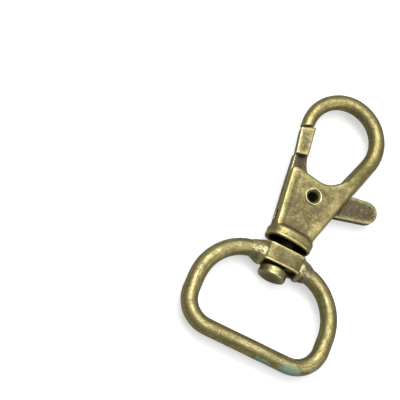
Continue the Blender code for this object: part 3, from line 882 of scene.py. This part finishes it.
def makePin():
    low, top, head = pin["headLow"], pin["headTop"], pin["head"]
    tailLow = hook["slotFloor"] + 0.04
    tailTop = tailLow + pin["tailHeight"]
    rows = [
        (low, head * 0.8), (low + 0.03, head * 0.88), (low + 0.12, head * 0.96), (low + 0.3, head),
        (top - 0.35, head), (top - 0.12, head - 0.07), (top, head - 0.28), (top + 0.01, pin["shank"]),
        (tailLow - 0.01, pin["shank"]), (tailLow, pin["tail"] - 0.1), (tailLow + 0.2, pin["tail"]),
        (tailTop - 0.35, pin["tail"]), (tailTop, pin["tail"] - 0.5),
    ]
    stud = turned("swivelPin", [(y, r, r) for y, r in rows], 56)
    for corner in stud.data.vertices:  # below the collar the pin leans to one side
        below = min(max((at(0, -3.5).y - corner.co.y) / 6.3, 0.0), 1.0)
        corner.co.x -= pin["lean"] * below
    melt(stud, 0.1, 2)
    roughenShape(stud, 1.4, 0.05)
    # painted shade: the shank hidden in the eye and collar is set near black, as the shadow there
    shankLow, shankHigh = at(0, pin["headTop"] + 0.1).y, at(0, -1.0).y
    markRelief(
        stud,
        lift=lambda places: np.where((places[:, 1] > shankLow) & (places[:, 1] < shankHigh), paintedShadeRub, 0.0),
    )
    settle(stud, "hook", "swivel_stud", rivetBrass)


makePin()


# Ring: eye, bent wire and the two weld beads, leaning together on the pin
ring = {
    "wire": 1.65, "halfWidth": 15.68, "lowY": -27.6, "startY": -7.9,
    "bowHeight": 10.2, "corner": 5.5, "lean": 3.2,
    "eyeLow": -9.5, "eyeTop": -5.75, "eyeWide": 4.25, "eyeDeep": 2.95,
    "eyeBore": 1.75, "eyeHollow": 0.75, "eyeWall": 0.55,
}


def leaning():
    turn = Matrix.Rotation(math.radians(ring["lean"]), 4, "Z")
    return Matrix.Translation(eyeMiddle) @ turn @ Matrix.Translation(-eyeMiddle)


def leanOver(piece):
    piece.data.transform(leaning())


def wirePath():
    reach = ring["halfWidth"] - ring["wire"]
    startX = ring["eyeWide"] + 0.1
    barY = ring["lowY"] + ring["wire"]
    half = []
    for a in np.radians(np.linspace(90, 0, 44)):
        half.append(
            (startX + (reach - startX) * math.cos(a), ring["startY"] - ring["bowHeight"] * (1 - math.sin(a)))
        )
    corner = (reach - ring["corner"], barY + ring["corner"])
    half += between(half[-1], arc(corner, ring["corner"], 0, 0, 1)[0], (0.35, 0.7))
    half += arc(corner, ring["corner"], 0, -90, 32)
    half += between(half[-1], (-half[-1][0], half[-1][1]), np.linspace(0, 0.5, 16)[1:-1])
    return [(x, y, 0.0) for x, y in half] + [(-x, y, 0.0) for x, y in reversed(half)]


def markAlong(piece, path, name):
    # length along the wire and the place round it, for lines that follow the bend
    line = np.array([at(*point) for point in path])
    steps = np.linalg.norm(np.diff(line, axis=0), axis=1)
    lengths = np.concatenate([[0], np.cumsum(steps)])
    tangents = np.gradient(line, axis=0)
    tangents /= np.linalg.norm(tangents, axis=1)[:, None]
    places = np.array([vertex.co for vertex in piece.data.vertices])
    nearest = np.concatenate([
        np.argmin(((part[:, None, :] - line[None]) ** 2).sum(2), axis=1)
        for part in np.array_split(places, 24)
    ])
    gap = places - line[nearest]
    along = lengths[nearest] + (gap * tangents[nearest]).sum(1)
    sideways = gap[:, 0] * tangents[nearest][:, 1] - gap[:, 1] * tangents[nearest][:, 0]
    values = np.stack([along, sideways, gap[:, 2]], 1).astype(np.float32)
    layer = piece.data.attributes.new(name, "FLOAT_VECTOR", "POINT")
    layer.data.foreach_set("vector", values.ravel())


def makeEye():
    low, top, wide, deep = ring["eyeLow"], ring["eyeTop"], ring["eyeWide"], ring["eyeDeep"]
    middle = (low + top) / 2
    half = [(0.0, 0.2), (0.04, 0.07), (0.12, 0.0), (0.3, 0.0), (0.5, 0.08), (0.85, 0.15)]
    rows = [(low + up, wide - inset, deep - inset) for up, inset in half]
    rows.append((middle, wide - 0.2, deep - 0.2))
    rows += [(top - up, wide - inset, deep - inset) for up, inset in reversed(half)]
    eye = turned("swivelEye", rows, 80, 5.0)
    bore = ring["eyeBore"]
    boreRows = [
        (low - 0.5, bore + 0.6), (low + 0.1, bore + 0.25), (low + 0.4, bore), (top - 0.4, bore),
        (top - 0.1, bore + 0.25), (top + 0.5, bore + 0.6),
    ]
    cut(eye, turned("eyeBore", [(y, r, r) for y, r in boreRows], 48))
    wall = ring["eyeWall"]
    hollow = [
        (low - 0.5, wide - wall, deep - wall),
        (low + ring["eyeHollow"], wide - wall - 0.1, deep - wall - 0.1),
    ]
    cut(eye, turned("eyeHollow", hollow, 48, 4.0))
    melt(eye, 0.12, 2)
    roughenShape(eye, 1.6, 0.07)
    markRelief(eye, lift=lambda places: np.full(len(places), -0.12))
    leanOver(eye)
    settle(eye, "ring", "swivel_eye", eyeBrass)


def makeWire():
    path = wirePath()
    bar = bentBar("ringWire", path, [ring["wire"]] * len(path), 26)
    markAlong(bar, path, "wirePath")
    roughenShape(bar, 3.0, 0.07)
    markRelief(bar, 1)
    leanOver(bar)
    settle(bar, "ring", "ring_wire", wireBrass)


verdigris = {
    # on the straight bar: how far along from its middle, how far below its axis, size
    "onBar": [(3.9, 1.6, 0.95), (9.3, 1.0, 1.6)],
    # round the bar's end: degrees down the corner, how far outside its axis, size
    "onCorner": [(41, 1.85, 1.0)],
    "height": 0.45,
    "stretch": (0.6, 1.0, 1.0), "raggedness": 2.6, "edge": 0.25, "colour": (0.14, 0.265, 0.19, 1),
    "cover": 0.82, "roughness": 0.3,
}


def patchPlaces():
    # the middle and the size of each patch, leaning with the ring
    barY = ring["lowY"] + ring["wire"]
    corner = (ring["halfWidth"] - ring["wire"] - ring["corner"], barY + ring["corner"])
    patches = [(along, barY - below, size) for along, below, size in verdigris["onBar"]]
    for angle, outside, size in verdigris["onCorner"]:
        patches.append((*arc(corner, ring["corner"] + outside, -angle, -angle, 1)[0], size))
    return [(leaning() @ at(x, y, verdigris["height"]), size) for x, y, size in patches]


def addVerdigris(material):
    # a few ragged patches of green corrosion low on the bar and round its end
    tree = material.node_tree
    shader = next(node for node in tree.nodes if node.type == "BSDF_PRINCIPLED")
    bare = {
        name: shader.inputs[name].links[0].from_socket for name in ("Base Color", "Roughness", "Metallic")
    }
    place = stretchNode(tree, tree.nodes.new("ShaderNodeTexCoord").outputs["Object"], (metre, metre, metre))
    ragged = noiseNode(tree, place, 0.8, 5.0, 0.65)
    ragged = mathNode(tree, "MULTIPLY", mathNode(tree, "SUBTRACT", ragged, 0.5), verdigris["raggedness"])
    squeezed = stretchNode(tree, place, verdigris["stretch"])
    patches = 0.0
    for middle, size in patchPlaces():
        gap = tree.nodes.new("ShaderNodeVectorMath")
        gap.operation = "DISTANCE"
        wire(tree, squeezed, gap.inputs[0])
        gap.inputs[1].default_value = [a * b for a, b in zip(middle, verdigris["stretch"])]
        reach = mathNode(tree, "ADD", gap.outputs["Value"], ragged)
        patches = mathNode(tree, "MAXIMUM", rangeNode(tree, reach, size, size - verdigris["edge"]), patches)
    cover = mathNode(tree, "MULTIPLY", patches, verdigris["cover"])
    wire(tree, mixColour(tree, cover, bare["Base Color"], verdigris["colour"]), shader.inputs["Base Color"])
    rough = mathNode(
        tree, "ADD", bare["Roughness"], mathNode(tree, "MULTIPLY", cover, verdigris["roughness"]), True,
    )
    wire(tree, rough, shader.inputs["Roughness"])
    metal = mathNode(tree, "MULTIPLY", bare["Metallic"], mathNode(tree, "SUBTRACT", 1.0, cover))
    wire(tree, metal, shader.inputs["Metallic"])


welds = {
    # distance from the axis, radius: from inside the eye out onto the wire
    "rows": [
        (3.4, 2.2), (3.8, 2.5), (4.35, 2.45), (4.9, 2.25),
        (5.4, 2.08), (5.9, 1.93), (6.3, 1.75), (6.7, 1.55),
    ],
    "lumps": 0.26, "lumpSize": 1.1,
}


def makeWeld(name, node, side):
    # melt run round the joint
    path = [(side * x, ring["startY"] - 0.06 * max(x - 4.5, 0) ** 2, 0.0) for x, _ in welds["rows"]]
    bead = bentBar(name, path, [radius for _, radius in welds["rows"]], 12)
    melt(bead, 0.1, 4)
    roughenShape(bead, welds["lumpSize"], welds["lumps"])
    melt(bead, 0.09, 2)
    markRelief(bead, 2)
    leanOver(bead)
    settle(bead, "ring", node, weldBrass)


addVerdigris(wireBrass)
makeEye()
makeWire()
makeWeld("weldLeft", "weld_left", -1)
makeWeld("weldRight", "weld_right", 1)


# Floor, light and camera
studio = {
    "floorSize": 3.0, "floorColour": (0.58, 0.58, 0.58), "floorGlow": 0.5,
    "floorBounce": (0.33, 0.32, 0.29), "worldLight": 0.335,
    "lights": [
        # name, place from the object's middle, size, power
        ("topLight", (-0.06, 0.10, 0.50), 0.50, 2.7),
        ("keyLight", (-0.20, 0.16, 0.40), 0.22, 0.62),
        ("fillLight", (0.34, -0.10, 0.30), 0.20, 0.5),
    ],
}
camera = {"place": (-0.054529, -0.087520, 0.221620), "turn": (14.150, -17.008, 26.149), "lens": 110.75}


def makeStudio():
    scene = bpy.context.scene
    scene.view_settings.view_transform = "Standard"
    clearSelection()
    bpy.ops.mesh.primitive_plane_add(size=studio["floorSize"], location=(0, 0, cadLow.z - 0.00002))
    floor = named("floor")
    paper = bpy.data.materials.new("paper")
    paper.use_nodes = True
    tree = paper.node_tree
    tree.nodes.remove(tree.nodes["Principled BSDF"])
    seen = tree.nodes.new("ShaderNodeBsdfDiffuse")
    seen.inputs["Color"].default_value = (*studio["floorColour"], 1)
    # what the metal mirrors is dimmer, as under a light tent
    bounced = tree.nodes.new("ShaderNodeBsdfDiffuse")
    bounced.inputs["Color"].default_value = (*studio["floorBounce"], 1)
    path = tree.nodes.new("ShaderNodeLightPath")
    either = tree.nodes.new("ShaderNodeMixShader")
    wire(tree, path.outputs["Is Camera Ray"], either.inputs[0])
    wire(tree, bounced.outputs[0], either.inputs[1])
    glow = tree.nodes.new("ShaderNodeEmission")
    glow.inputs["Strength"].default_value = studio["floorGlow"]
    lit = tree.nodes.new("ShaderNodeAddShader")
    wire(tree, seen.outputs[0], lit.inputs[0])
    wire(tree, glow.outputs[0], lit.inputs[1])
    wire(tree, lit.outputs[0], either.inputs[2])
    wire(tree, either.outputs[0], tree.nodes["Material Output"].inputs["Surface"])
    floor.data.materials.append(paper)

    world = bpy.data.worlds.new("studioWorld")
    scene.world = world
    world.use_nodes = True
    background = world.node_tree.nodes["Background"]
    background.inputs["Color"].default_value = (1, 1, 1, 1)
    background.inputs["Strength"].default_value = studio["worldLight"]

    middle = (cadLow + cadHigh) / 2
    for name, place, size, power in studio["lights"]:
        bpy.ops.object.light_add(type="AREA", location=middle + Vector(place))
        lamp = bpy.context.active_object
        lamp.name = name
        lamp.data.shape = "DISK"
        lamp.data.size = size
        lamp.data.energy = power
        lamp.rotation_euler = (-Vector(place)).to_track_quat("-Z", "Y").to_euler()

    bpy.ops.object.camera_add(location=camera["place"], rotation=[math.radians(a) for a in camera["turn"]])
    view = bpy.context.active_object
    view.name = "mainCamera"
    view.data.lens = camera["lens"]
    view.data.sensor_width = 36
    view.data.clip_start = 0.01
    scene.camera = view


makeStudio()
print("studio ready")
